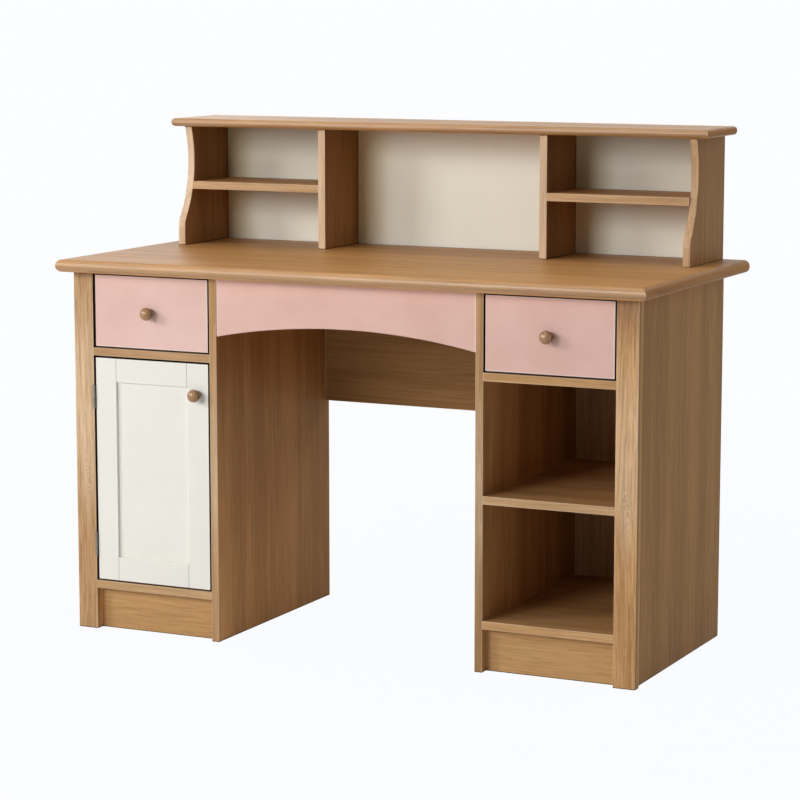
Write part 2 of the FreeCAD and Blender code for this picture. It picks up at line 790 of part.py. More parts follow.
def hinges():
    """Two butt hinges in the gap beside the door, their knuckles just proud of its face."""
    halves = {
        "frame": {"plate_x": "0 - bay_outer", "wood_x": "0 - bay_outer", "facing": 1, "knuckles": (0, 2),
                  "wood": "left_corner_post", "leaves": [], "screws": []},
        "door": {"plate_x": "door_left - hinge_leaf", "wood_x": "door_left", "facing": -1, "knuckles": (1,),
                 "wood": "door_hinge_stile", "leaves": [], "screws": []},
    }
    pins = []
    for place_name, low in (("low", "hinge_low"), ("high", "hinge_high")):
        bore = rod(
            f"hinge_{place_name}_bore", "hinge_pin_radius + hinge_pin_clearance", "hinge_height",
            ("hinge_x", "hinge_y", low),
        )
        for half, kind in halves.items():
            name = f"hinge_{place_name}_{half}"
            solids = [block(name + "_plate", ("hinge_leaf", "hinge_leaf_depth", "hinge_height"),
                            (kind["plate_x"], "front", low))]
            for number in kind["knuckles"]:
                level = f"{low} + {number} * knuckle_step"
                solids.append(rod(f"{name}_knuckle_{number}", "hinge_radius", "knuckle",
                                  ("hinge_x", "hinge_y", level)))
                solids.append(block(f"{name}_tab_{number}", ("hinge_leaf", "front - hinge_y", "knuckle"),
                                    (kind["plate_x"], "hinge_y", level)))
            leaf = without(name + "_bored", fused(name + "_blank", solids), bore)
            sinks = []
            screw_levels = ("hinge_screw_inset", "hinge_height / 2", "hinge_height - hinge_screw_inset")
            for number, level in enumerate(screw_levels):
                spot = (kind["wood_x"], "front + hinge_screw_setback", f"{low} + {level}")
                screw = f"{name}_screw_{number}"
                kind["screws"].append(countersunk(screw, *spot, kind["facing"], "0"))
                sinks.append(countersunk(screw + "_sink", *spot, kind["facing"], "screw_clearance"))
                drill(kind["wood"], sinks[-1])
            kind["leaves"].append(without(name, leaf, group(name + "_sinks", sinks)))
        shaft = rod(
            f"hinge_{place_name}_shaft", "hinge_pin_radius", "hinge_height", ("hinge_x", "hinge_y", low),
        )
        caps = [
            rod(f"hinge_{place_name}_cap_{end}", "hinge_radius", "hinge_cap", ("hinge_x", "hinge_y", level))
            for end, level in (("low", f"{low} - hinge_cap"), ("high", f"{low} + hinge_height"))
        ]
        pins.append(fused(f"hinge_{place_name}_pin", [shaft] + caps))
    for half, kind in halves.items():
        keep(f"hinge_{half}_leaves", group(f"hinge_{half}_leaves", kind["leaves"]))
        keep(f"hinge_{half}_screws", group(f"hinge_{half}_screws", kind["screws"]))
    keep("hinge_pins", group("hinge_pins", pins))


def door_catch():
    """A magnetic catch on the pedestal's inner side and its strike plate on the latch stile."""
    board(
        "door_catch", ("catch_width", "catch_depth", "catch_height"),
        (
            "0 - bay_inner - catch_width",
            "front + front_thickness + strike_thickness + slide_clearance",
            "catch_low",
        ),
    )
    board(
        "door_strike", ("catch_width", "strike_thickness", "catch_height"),
        ("door_right - catch_width", "front + front_thickness", "catch_low"),
    )


# ---------------------------------------------------------------- dowelled joints

def both_ends(start, end):
    return [f"{start} + dowel_inset", f"{end} - dowel_inset"]


def pedestal_dowels(side, sign):
    outer_faces, inner_faces = f"{sign} * side_inner", f"{sign} * bay_inner"
    toward_outer, toward_inner = ("+", "-") if sign > 0 else ("-", "+")
    walls = (
        (f"{side}_outer_side", outer_faces, toward_outer, "front + post_depth"),
        (f"{side}_inner_side", inner_faces, toward_inner, "front"),
    )
    boards = [(f"{side}_bottom_board", "plinth_height"), (f"{side}_divider_board", "divider_under")]
    if side == "right":
        boards.append(("open_shelf", "open_shelf_height"))
    for wall, face, toward, wall_front in walls:
        for label, low in boards:
            spots = [(y, f"{low} + board / 2") for y in both_ends("front + post_depth", "back_board_face")]
            dowel_row("x", face, toward, spots, label, wall)
        spots = [("back_board_face + board / 2", z) for z in both_ends("bottom_top", "top_under")]
        dowel_row("x", face, toward, spots, f"{side}_back_board", wall)
        spots = [("front + plinth_setback + board / 2", "plinth_height / 2")]
        dowel_row("x", face, toward, spots, f"{side}_plinth", wall)
        middle = f"{sign} * ({'outer_side_mid' if 'outer' in wall else 'inner_side_mid'})"
        spots = [(middle, y) for y in both_ends(wall_front, "back")]
        dowel_row("z", "top_under", "+", spots, wall, "desk_top")
    post_levels = ("dowel_inset", "top_under / 2", "top_under - dowel_inset")
    spots = [(f"{sign} * outer_side_mid", z) for z in post_levels]
    dowel_row("y", "front + post_depth", "-", spots, f"{side}_outer_side", f"{side}_corner_post")

    modesty_levels = both_ends("top_under - modesty_depth", "top_under")
    rear_spots = [("back_board_face + board / 2", z) for z in modesty_levels]
    front_spots = [("front + apron_setback + board / 2", "top_under - apron_depth / 2")]
    for label, spots in (("modesty_panel", rear_spots), ("front_apron", front_spots)):
        dowel_row("x", f"{sign} * inner_face", toward_outer, spots, label, f"{side}_inner_side")


def hutch_dowels(side, sign):
    for wall, middle, start in (
        (f"hutch_{side}_side", "hutch_side_mid", "hutch_front"),
        (f"hutch_{side}_divider", "hutch_divider_mid", "hutch_bay_front"),
    ):
        depths = (f"{start} + dowel_inset", "hutch_back_face - hutch_dowel_inset")
        spots = [(f"{sign} * {middle}", y) for y in depths]
        dowel_row("z", "desk_height", "-", spots, wall, "desk_top")
        dowel_row("z", "hutch_high", "+", spots, wall, "hutch_top")
    toward_outer, toward_inner = ("+", "-") if sign > 0 else ("-", "+")
    spots = [
        (y, "hutch_shelf_low + board / 2")
        for y in ("hutch_bay_front + hutch_dowel_inset", "hutch_back_face - hutch_dowel_inset")
    ]
    for wall, face, toward in (
        (f"hutch_{side}_side", "hutch_side_inner", toward_outer),
        (f"hutch_{side}_divider", "hutch_divider_outer", toward_inner),
    ):
        dowel_row("x", f"{sign} * {face}", toward, spots, f"hutch_{side}_shelf", wall)


# ---------------------------------------------------------------- assembly

desk_top()
front_apron()
modesty_panel()
hutch_top_and_back()
for side, sign in (("left", -1), ("right", 1)):
    pedestal(side, sign)
    drawer(side, sign)
    drawer_guides(side, sign)
    hutch_side(side, sign)
    hutch_bays(side, sign)
flush_board("open_shelf", 1, "open_shelf_height")
cupboard_shelf()
drawer_stops()
door()
hinges()
door_catch()
for side, sign in (("left", -1), ("right", 1)):
    pedestal_dowels(side, sign)
    hutch_dowels(side, sign)
keep("dowels", group("dowels", dowels))

for label, holes in drillings.items():
    undrilled = pieces[label]
    undrilled.Label = label + "_undrilled"
    keep(label, without(label + "_drilled", undrilled, group(label + "_holes", holes)))

doc.recompute()

faults = [thing.Label for thing in doc.Objects if {"Invalid", "Error"} & set(thing.State)]
faults += [label for label, thing in pieces.items() if thing.Shape.isNull() or not thing.Shape.isValid()]
if faults:
    raise RuntimeError("these objects failed: " + ", ".join(faults))

os.makedirs("parts", exist_ok=True)
for label, thing in pieces.items():
    thing.Shape.exportStep(f"parts/{label}.step")
print(f"{len(pieces)} sub-parts written")
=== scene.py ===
import math

import bpy
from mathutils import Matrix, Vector


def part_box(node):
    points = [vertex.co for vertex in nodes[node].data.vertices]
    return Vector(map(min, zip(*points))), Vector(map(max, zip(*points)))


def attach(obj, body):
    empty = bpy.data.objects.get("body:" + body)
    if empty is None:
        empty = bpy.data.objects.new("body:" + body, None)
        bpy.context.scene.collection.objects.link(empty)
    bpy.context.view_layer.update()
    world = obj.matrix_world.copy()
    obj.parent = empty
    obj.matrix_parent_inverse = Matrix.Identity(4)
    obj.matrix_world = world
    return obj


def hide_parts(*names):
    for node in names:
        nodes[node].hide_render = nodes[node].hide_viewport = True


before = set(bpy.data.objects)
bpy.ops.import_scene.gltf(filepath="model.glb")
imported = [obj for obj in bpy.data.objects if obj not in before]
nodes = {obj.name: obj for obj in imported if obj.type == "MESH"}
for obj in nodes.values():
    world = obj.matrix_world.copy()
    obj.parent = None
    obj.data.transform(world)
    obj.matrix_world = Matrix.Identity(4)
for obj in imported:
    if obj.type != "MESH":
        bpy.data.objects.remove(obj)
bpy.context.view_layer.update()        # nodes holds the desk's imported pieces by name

print("desk loaded, pieces:", len(nodes))

# the camera stands to the right of the desk and looks slightly down
view = {
    "place": (2.3389, -4.8807, 1.2740),   # metres
    "down": 8.463,                        # degrees
    "left": 25.643,
    "lens": 123.08,                       # millimetres, like the sensor
    "sensor": 36,
}


def addCamera(view):
    lens = bpy.data.cameras.new("deskView")
    lens.lens = view["lens"]
    lens.sensor_width = view["sensor"]
    camera = bpy.data.objects.new("deskView", lens)
    camera.location = view["place"]
    camera.rotation_euler = (math.radians(90 - view["down"]), 0, math.radians(view["left"]))
    bpy.context.scene.collection.objects.link(camera)
    bpy.context.scene.camera = camera


addCamera(view)
bpy.context.scene.view_settings.view_transform = "Standard"
print("camera placed")


class Wire:        # a shader socket that takes part in sums
    def __init__(self, tree, socket=None):
        self.tree = tree
        self.socket = socket

    def node(self, kind, settings, inputs, output=0):
        made = self.tree.nodes.new("ShaderNode" + kind)
        for name, value in settings.items():
            setattr(made, name, value)
        for name, value in inputs.items():
            socket = made.inputs[name]
            if isinstance(value, Wire):
                self.tree.links.new(value.socket, socket)
            elif socket.type == "RGBA":
                socket.default_value = (*value, 1)
            else:
                socket.default_value = value
        return Wire(self.tree, None if output is None else made.outputs[output])

    def maths(self, operation, first, second):
        return self.node("Math", {"operation": operation}, {0: first, 1: second})

    def __add__(self, other):
        return self.maths("ADD", self, other)

    def __sub__(self, other):
        return self.maths("SUBTRACT", self, other)

    def __mul__(self, other):
        return self.maths("MULTIPLY", self, other)

    def __rsub__(self, other):
        return self.maths("SUBTRACT", other, self)

    __radd__ = __add__
    __rmul__ = __mul__

    def least(self, other):
        return self.maths("MINIMUM", self, other)

    def most(self, other):
        return self.maths("MAXIMUM", self, other)

    def swing(self):        # noise that goes round 0 in place of 0.5
        return self - 0.5

    def between(self, low, high):        # 0 below low, 1 above high, smooth in between
        return self.node("MapRange", {"interpolation_type": "SMOOTHSTEP"}, {0: self, 1: low, 2: high})

    def part(self, axis):        # x, y or z of a vector, as 0, 1 or 2
        return self.node("SeparateXYZ", {}, {0: self}, axis)

    def length(self):
        return self.node("VectorMath", {"operation": "LENGTH"}, {0: self}, "Value")

    def times(self, sizes):
        return self.node("VectorMath", {"operation": "MULTIPLY"}, {0: self, 1: sizes})

    def plus(self, step):
        return self.node("VectorMath", {"operation": "ADD"}, {0: self, 1: step})

    def scaled(self, size):
        return self.node("VectorMath", {"operation": "SCALE"}, {0: self, "Scale": size})

    def noise(self, scale, detail=2.0, roughness=0.5, output=0):
        return self.node(
            "TexNoise", {},
            {"Vector": self, "Scale": scale, "Detail": detail, "Roughness": roughness}, output)

    def mixed(self, first, second, blend="MIX"):        # self is the share of the second colour
        settings = {"data_type": "RGBA", "blend_type": blend}      # whose sockets are 6, 7 and 2
        return self.node("Mix", settings, {0: self, 6: first, 7: second}, 2)


def startMaterial(name):
    material = bpy.data.materials.new(name)
    material.use_nodes = True
    material.node_tree.nodes.clear()
    start = Wire(material.node_tree)
    return material, start


def deskPlace(start):
    # metres in the desk's own frame
    return start.node("TexCoord", {}, {}, "Object")


def surfaceNormal(start):
    return start.node("TexCoord", {}, {}, "Normal")


def finishSurface(start, colour, roughness, height, look, coat=0.0):
    normal = start.node(
        "Bump", {}, {"Strength": look["bump"], "Distance": look["bumpDepth"], "Height": height})
    surface = start.node("BsdfPrincipled", {}, {
        "Base Color": colour,
        "Roughness": roughness,
        "Metallic": look.get("metal", 0.0),
        "Specular IOR Level": look.get("shine", 0.5),
        "Coat Weight": coat,
        "Coat Roughness": look.get("coatRoughness", 0.3),
        "Normal": normal,
    })
    start.node("OutputMaterial", {}, {"Surface": surface}, None)


facing = {     # how squarely a surface has to look along an axis, as cosines
    "from": 0.55,
    "to": 0.85,
    "frontFrom": 0.45,
    "frontTo": 0.75,
}


def facesAlong(start, axis):
    # 1 on surfaces that look along the axis, either way
    turned = surfaceNormal(start).part(axis)
    return turned.most(0 - turned).between(facing["from"], facing["to"])


def facesForward(start):
    # 1 on surfaces that look to the front
    return (0 - surfaceNormal(start).part(1)).between(facing["frontFrom"], facing["frontTo"])


def sideDistances(place, box, sides):
    # metres to the nearer of the box's two sides across each named axis
    near = []
    for axis in sides:
        along = place.part(axis)
        near.append((along - box[0][axis]).least(box[1][axis] - along))
    return near


def nearEdge(place, box, width, ragged):
    # 1 on the arrises of a board that fills the box, 0 further in
    first, second, third = sideDistances(place, box, (0, 1, 2))
    middle = first.least(second).most(first.most(second).least(third))
    return 1 - (middle + ragged).between(0.0, width)


def nearSides(place, box, sides, low, high):
    # 1 on the box's sides across the named axes, 0 further in
    nearest, *others = sideDistances(place, box, sides)
    for other in others:
        nearest = nearest.least(other)
    return 1 - nearest.between(low, high)


oakVeneer = {
    "dark": (0.450, 0.228, 0.078),
    "light": (0.600, 0.316, 0.116),
    "bandDark": (0.510, 0.318, 0.160),     # the solid strip on a board's edges
    "bandLight": (0.670, 0.440, 0.250),
    "contrast": 1.5,
    "bands": 2.1,                          # broad light and dark stripes
    "streaks": 110.0,                      # streaks per metre, more is finer
    "lines": 0.13,                         # how much darker the long pore lines are
    "pore": 0.20,                          # and the pores between them
    "poreScale": 1300.0,
    "poreStretch": 0.018,
    "figure": 0.30,                        # strength of the growth rings
    "ringDepth": 0.035,                    # metres from the face to the rings' middle
    "ringStretch": 0.045,
    "ringScale": 34.0,
    # pale arrises, partly a lighter edge where the lacquer is thin and partly a painted highlight; knots use
    # the same pale colour
    "paleWearAndHighlight": (0.82, 0.63, 0.45),
    "pit": (0.14, 0.07, 0.03),
    "gapShade": (0.020, 0.010, 0.008),        # painted shade where a board faces a gap
    "seamShade": (0.085, 0.038, 0.016),         # dark lines where boards meet, a joint line with painted contact shade
    "paleWearAndHighlightWidth": 0.0018,
    "paleWearAndHighlightShare": 0.62,
    "roughness": 0.46,
    "bump": 0.25,
    "bumpDepth": 0.0002,
    "shine": 0.04,
}
shadedVeneer = dict(oakVeneer, dark=(0.435, 0.235, 0.092), light=(0.580, 0.325, 0.134))
backVeneer = dict(shadedVeneer, dark=(0.420, 0.262, 0.135), light=(0.560, 0.363, 0.197))
warmEdge = {"bandDark": (0.485, 0.273, 0.118), "bandLight": (0.637, 0.378, 0.185)}
mellowEdge = {     # darker, with a painted highlight part of the way up
    "bandDark": (0.410, 0.232, 0.106),
    "bandLight": (0.536, 0.321, 0.165),
    "paintedHighlight": (1.23, 1.44, 1.80),
    "paintedHighlightFrom": 0.08,                      # metres above the floor
    "paintedHighlightMiddle": 0.35,
    "paintedHighlightTo": 0.62,
}
bottomVeneer = dict(shadedVeneer, **warmEdge)
leftDividerVeneer = dict(oakVeneer, **mellowEdge)
rightDividerVeneer = dict(oakVeneer, **warmEdge)
# the knee side: painted light and shade, the face lighter low down and toward the front, its edges lighter
# high up
kneeVeneer = dict(
    shadedVeneer, paintedShading={"z": (1.20, 0.86), "y": (1.14, 0.98)}, edgePaintedShading={"z": (0.92, 1.10)},
    paintedShade=(0.80, 0.66, 0.50), paintedShadeFrom=0.42, paintedShadeTo=0.64,      # painted shade under the top
    **mellowEdge)
# painted shade: the face darker toward the back, its edges darker low down
innerVeneer = dict(shadedVeneer, paintedShading={"y": (1.20, 0.76)}, edgePaintedShading={"z": (0.82, 1.00)}, **mellowEdge)
roundedEdge = {     # the tops' bullnose edges have a thicker varnish
    "bandDark": (0.455, 0.240, 0.099),
    "bandLight": (0.600, 0.342, 0.160),
    "endDark": (0.560, 0.250, 0.078),      # the same strip on the right and left ends
    "endLight": (0.740, 0.365, 0.122),
    "edgeCoat": 1.0,
    "coatRoughness": 0.36,
}
# painted light and shade: the face lighter toward the front and a little darker toward the left end, the
# edges darker low down
topVeneer = dict(
    oakVeneer, dark=(0.412, 0.196, 0.064), light=(0.556, 0.284, 0.102), contrast=1.4, bands=1.6, lines=0.16,
    figure=0.12, coat=0.23, paintedShading={"x": (0.90, 0.95), "y": (1.18, 0.92)}, edgePaintedShading={"z": (0.72, 1.00)})
topVeneer.update(roundedEdge)
# painted shade: the edges darker low down
hutchTopVeneer = dict(oakVeneer, coat=0.45, edgePaintedShading={"z": (0.76, 1.00)}, **roundedEdge)
# painted light and shade on the hutch's uprights: darker toward the top
hutchEndVeneer = dict(oakVeneer, edgeCoat=0.25, paintedShading={"z": (1.14, 0.92)})
hutchVeneer = dict(
    hutchEndVeneer, bandDark=(0.635, 0.438, 0.268), bandLight=(0.810, 0.590, 0.398),
    paintedShading={"z": (0.98, 0.84)})
solidOak = dict(
    oakVeneer, dark=(0.396, 0.211, 0.087), light=(0.630, 0.369, 0.174), contrast=1.3, bands=1.1,
    streaks=230.0, lines=0.24, pore=0.42, poreScale=560.0, poreStretch=0.06, figure=0.10, ringDepth=0.008,
    ringStretch=0.06, ringScale=90.0, bandDark=(0.420, 0.190, 0.060), bandLight=(0.600, 0.290, 0.105))
plinthOak = dict(
    solidOak, dark=(0.450, 0.248, 0.104), light=(0.625, 0.375, 0.166), contrast=1.0, lines=0.15, pore=0.25,
    ringDepth=0.03)
# the corner posts: a painted highlight part of the way up the front, painted shade under the top, and a side
# face painted lighter toward its back
postOak = dict(
    solidOak, paintedHighlight=(1.28, 1.49, 1.87), paintedHighlightFrom=0.22, paintedHighlightMiddle=0.47, paintedHighlightTo=0.69,
    paintedShade=(0.62, 0.62, 0.70), paintedShadeFrom=0.62, paintedShadeTo=0.727, bandDark=(0.410, 0.222, 0.082),
    bandLight=(0.590, 0.338, 0.138), edgePaintedShading={"y": (0.92, 1.70)})
paleOak = dict(
    postOak, dark=(0.372, 0.209, 0.095), light=(0.590, 0.365, 0.188), paintedHighlight=(1.33, 1.55, 1.90), paintedHighlightTo=0.76,
    paintedShade=(0.78, 0.80, 0.86), paintedShadeFrom=0.70)
hardwood = dict(oakVeneer, dark=(0.42, 0.27, 0.14), light=(0.60, 0.43, 0.26), roughness=0.55)
birch = dict(oakVeneer, dark=(0.52, 0.37, 0.22), light=(0.66, 0.50, 0.33), roughness=0.50)
for wood in (hardwood, birch):
    wood.update(bandDark=wood["dark"], bandLight=wood["light"])

grain = {     # what every wood's grain has in common; scales are per metre
    "shift": (1.37, 0.71, 2.13),           # metres that each seed moves the pattern
    "driftScale": 3.0,
    "driftDetail": 1.0,
    "drift": (0.014, 0.014, 0.014),        # metres that the grain wanders
    "stretch": 0.05,                       # length along the grain shrinks to this share
    "bandScale": 16.0,
    "bandDetail": 1.0,
    "streakDetail": 4.0,
    "streakRoughness": 0.60,
    "streakContrast": 1.7,
    "fibreScale": 800.0,
    "fibreRoughness": 0.6,
    "fibreContrast": 0.5,
    "lineScale": 290.0,
    "lineStretch": 0.022,
    "lineFrom": 0.50,
    "lineTo": 0.68,
    "poreDetail": 1.0,
    "poreFrom": 0.60,
    "poreTo": 0.72,
    "ringDistortion": 3.0,
    "ringDetail": 2.0,
    "ringDetailScale": 1.4,
    "coreSwing": 0.25,                     # how far the rings' middle leaves the board's
    "coreTurn": 2.4,
    "depthSwing": 0.5,
    "ragged": 0.0012,                      # metres that a pale arris, partly a thin lacquer and partly a painted highlight, varies in width
    "streakMatt": 0.16,                    # what each adds to the roughness
    "poreMatt": 0.10,
    "wornMatt": 0.12,
    "streakHeight": 0.5,                   # and to the bump
    "fibreHeight": 0.35,
    "poreDepth": 0.8,
    "lineDepth": 0.5,
    "markSoftness": 0.0001,
}
axes = ("x", "y", "z")


def alongGrain(axis, share):
    # a vector that shrinks coordinates along the grain
    return tuple(share if name == axis else 1.0 for name in axes)


def ringCore(look, box, thin, seed):
    # the growth rings go round a core that lies a little behind the board's face
    core = [
        (low + high) / 2 + grain["coreSwing"] * (high - low) * math.sin(seed * grain["coreTurn"] + turn)
        for turn, (low, high) in enumerate(zip(*box))
    ]
    core[thin] = box[0][thin] - look["ringDepth"] * (1 + grain["depthSwing"] * math.sin(seed))
    return core


def shadeAcrossBoard(shade, look, place, box, face):
    # painted light and shade: darker or lighter from one side of the board to the other
    for kind, where in (("paintedShading", face), ("edgePaintedShading", 1 - face)):
        for axis, (first, second) in look.get(kind, {}).items():
            turn = axes.index(axis)
            reach = place.part(turn).between(box[0][turn], box[1][turn])
            shade = shade * (1 + where * (first - 1 + reach * (second - first)))
    return shade


def litByHeight(colour, look, place, face, forward):
    # painted shade under the top, and a painted highlight part of the way up
    up = place.part(2)
    # painted shade near the top, under the overhang
    if "paintedShade" in look:
        dim = up.between(look["paintedShadeFrom"], look["paintedShadeTo"]) * face
        colour = dim.mixed(colour, look["paintedShade"], "MULTIPLY")
    # painted highlight on the front faces, strongest at the middle height
    if "paintedHighlight" in look:
        risen = up.between(look["paintedHighlightFrom"], look["paintedHighlightMiddle"])
        shine = risen - up.between(look["paintedHighlightMiddle"], look["paintedHighlightTo"])
        colour = (shine * forward).mixed(colour, look["paintedHighlight"], "MULTIPLY")
    return colour


burr = {     # what a knot looks like
    "patchStretch": 0.14,      # how slim the pale patch is
    "patch": 0.020,            # metres
    "patchShare": 0.20,
    "stretch": 0.35,
    "scale": 520.0,
    "detail": 3.0,
    "roughness": 0.7,
    "from": 0.001,             # metres from the knot's middle
    "to": 0.006,
    "contrast": 4.4,
    "paleWearAndHighlightShare": 0.9,
    "pitShare": 0.7,
}


def knotted(colour, look, along, place, moved, knot):
    # a pale patch with a burr in its middle
    away = place.plus([-part for part in knot]).times(alongGrain(along, burr["patchStretch"])).length()
    patch = 1 - away.between(0.0, burr["patch"])
    colour = (patch * burr["patchShare"]).mixed(colour, look["paleWearAndHighlight"])
    curl = moved.times(alongGrain(along, burr["stretch"]))
    curl = curl.noise(burr["scale"], burr["detail"], burr["roughness"]).swing() * burr["contrast"]
    curl = (1 - away.between(burr["from"], burr["to"])) * curl
    colour = curl.most(0.0).least(burr["paleWearAndHighlightShare"]).mixed(colour, look["paleWearAndHighlight"])
    return (0 - curl).most(0.0).least(burr["pitShare"]).mixed(colour, look["pit"])


def thinAxis(box):
    size = [high - low for low, high in zip(*box)]
    return size.index(min(size))


def grainNoise(place, moved, look, along, box, seed, ended):
    # the stripes, streaks, fibres, growth rings, pore lines and pores of a board
    thin = thinAxis(box)
    across = axes[3 - thin - axes.index(along)]

    def grained(vector, share):        # the strip on a board's end has its grain across the board
        return vector.times(ended.mixed(alongGrain(along, share), alongGrain(across, share)))

    drift = moved.noise(grain["driftScale"], grain["driftDetail"], output="Color")
    drift = drift.plus((-0.5, -0.5, -0.5)).times(grain["drift"])
    wavy = moved.plus(drift)
    run = grained(wavy, grain["stretch"])
    bands = run.noise(grain["bandScale"], grain["bandDetail"])
    streaks = run.noise(look["streaks"], grain["streakDetail"], grain["streakRoughness"])
    fibres = run.noise(grain["fibreScale"], roughness=grain["fibreRoughness"])
    shells = place.plus(drift).plus([-part for part in ringCore(look, box, thin, seed)])
    shells = shells.times(alongGrain(along, look["ringStretch"]))
    rings = shells.node(
        "TexWave", {"wave_type": "RINGS", "rings_direction": "SPHERICAL", "wave_profile": "SAW"},
        {"Vector": shells, "Scale": look["ringScale"], "Distortion": grain["ringDistortion"],
         "Detail": grain["ringDetail"], "Detail Scale": grain["ringDetailScale"]})
    lines = grained(wavy, grain["lineStretch"]).noise(grain["lineScale"])
    lines = lines.between(grain["lineFrom"], grain["lineTo"])
    pores = grained(wavy, look["poreStretch"]).noise(look["poreScale"], grain["poreDetail"])
    pores = pores.between(grain["poreFrom"], grain["poreTo"])
    return bands, streaks, fibres, rings, lines, pores


def woodMaterial(name, look, along, box, seed, tone=1.0, knots=(), marks=()):
    material, start = startMaterial(name)
    place = deskPlace(start)
    moved = place.plus([seed * part for part in grain["shift"]])
    ended = facesAlong(start, axes.index(along))
    face = facesAlong(start, thinAxis(box))
    forward = facesForward(start)
    bands, streaks, fibres, rings, lines, pores = grainNoise(place, moved, look, along, box, seed, ended)

    share = 0.5 + look["contrast"] * (
        bands.swing() * look["bands"] + streaks.swing() * grain["streakContrast"]
        + fibres.swing() * grain["fibreContrast"] + rings.swing() * look["figure"])
    dark, light = (tuple(value * tone for value in look[part]) for part in ("dark", "light"))
    band = share.mixed(look["bandDark"], look["bandLight"])
    if "endDark" in look:
        band = ended.mixed(band, share.mixed(look["endDark"], look["endLight"]))
    colour = face.mixed(band, share.mixed(dark, light))
    shade = 1 - pores * look["pore"] * (1 - streaks) - lines * look["lines"]
    colour = colour.scaled(shadeAcrossBoard(shade, look, place, box, face))
    colour = litByHeight(colour, look, place, face, forward)
    # pale arrises: partly a lighter edge where the lacquer is thin, partly a painted highlight
    paleWearAndHighlight = nearEdge(place, box, look["paleWearAndHighlightWidth"], fibres.swing() * grain["ragged"]) * look["paleWearAndHighlightShare"]
    colour = paleWearAndHighlight.mixed(colour, look["paleWearAndHighlight"])
    for knot in knots:
        colour = knotted(colour, look, along, place, moved, knot)
    # dark joint lines with painted contact shade, and painted shade beside the gaps
    soft = grain["markSoftness"]
    for kind, low, high in marks:
        inside = 1 - nearSides(place, (low, high), (0, 1, 2), -soft, soft)
        colour = inside.mixed(colour, look[kind])

    roughness = (look["roughness"] + streaks.swing() * grain["streakMatt"]
                 + pores * grain["poreMatt"] + paleWearAndHighlight * grain["wornMatt"])
    height = (streaks * grain["streakHeight"] + fibres * grain["fibreHeight"]
              - pores * grain["poreDepth"] - lines * grain["lineDepth"])
    coat = face * look["coat"] if "coat" in look else 0.0
    if "edgeCoat" in look:
        coat = coat + forward * look["edgeCoat"]
    finishSurface(start, colour, roughness, height, look, coat)
    return material


pinkPaint = {
    "colour": (0.790, 0.522, 0.452),
    "mottle": (0.722, 0.460, 0.388),
    # a painted highlight along the front's arrises
    "arris": (0.93, 0.80, 0.76),
    "arrisWidth": 0.0036,
    "arrisShare": 0.85,
    "gapShadeRim": (0.020, 0.010, 0.008),      # painted shade on the edges that face the gaps
    "joint": (0.22, 0.19, 0.14),
    "jointWidth": 0.0013,
    "tenon": 0.008,                    # how far a rail runs on into the stiles
    "roughness": 0.42,
    "bump": 0.16,
    "bumpDepth": 0.0002,
    "shine": 0.02,
}
# painted light: the left drawer front gets a paler copy of the same pink, where more light falls
palePink = dict(pinkPaint, colour=(0.806, 0.560, 0.498), mottle=(0.737, 0.494, 0.428))
creamPaint = dict(
    pinkPaint, colour=(0.850, 0.830, 0.760), mottle=(0.820, 0.799, 0.728), arris=(0.90, 0.88, 0.82),
    arrisShare=0.6)
# bayShade and sideShade are painted shade on the back panel inside the hutch's bays
backPaint = dict(
    creamPaint, colour=(0.950, 0.937, 0.822), mottle=(0.916, 0.904, 0.786), bayShade=(0.34, 0.28, 0.20),
    upperShare=0.27, sideShade=(0.70, 0.55, 0.14), sideShare=0.42, sideReach=0.10)

brushwork = {     # what every coat of paint has in common
    "shift": (0.9, 1.7, 0.4),          # metres that each seed moves the pattern
    "cloudScale": 9.0,
    "cloudDetail": 3.0,
    "cloudRoughness": 0.55,
    "cloudContrast": 1.6,
    "strokeStretch": (1, 1, 6),
    "strokeScale": 60.0,
    "dimpleScale": 620.0,
    "dimpleRoughness": 0.6,
    "speckScale": 240.0,
    "speckDetail": 3.0,
    "speckRoughness": 0.7,
    "speckContrast": 0.4,
    "ragged": 0.0010,                  # metres that the painted arris highlight varies in width
    "jointSoftness": 0.0002,
    "baySoftness": 0.0020,
    "gapShadeRimFrom": 0.0006,
    "gapShadeRimTo": 0.0010,
    "cloudMatt": 0.12,                 # what each adds to the roughness
    "dimpleMatt": 0.10,
    "dimpleHeight": 0.7,               # and to the bump
    "strokeHeight": 0.3,
}


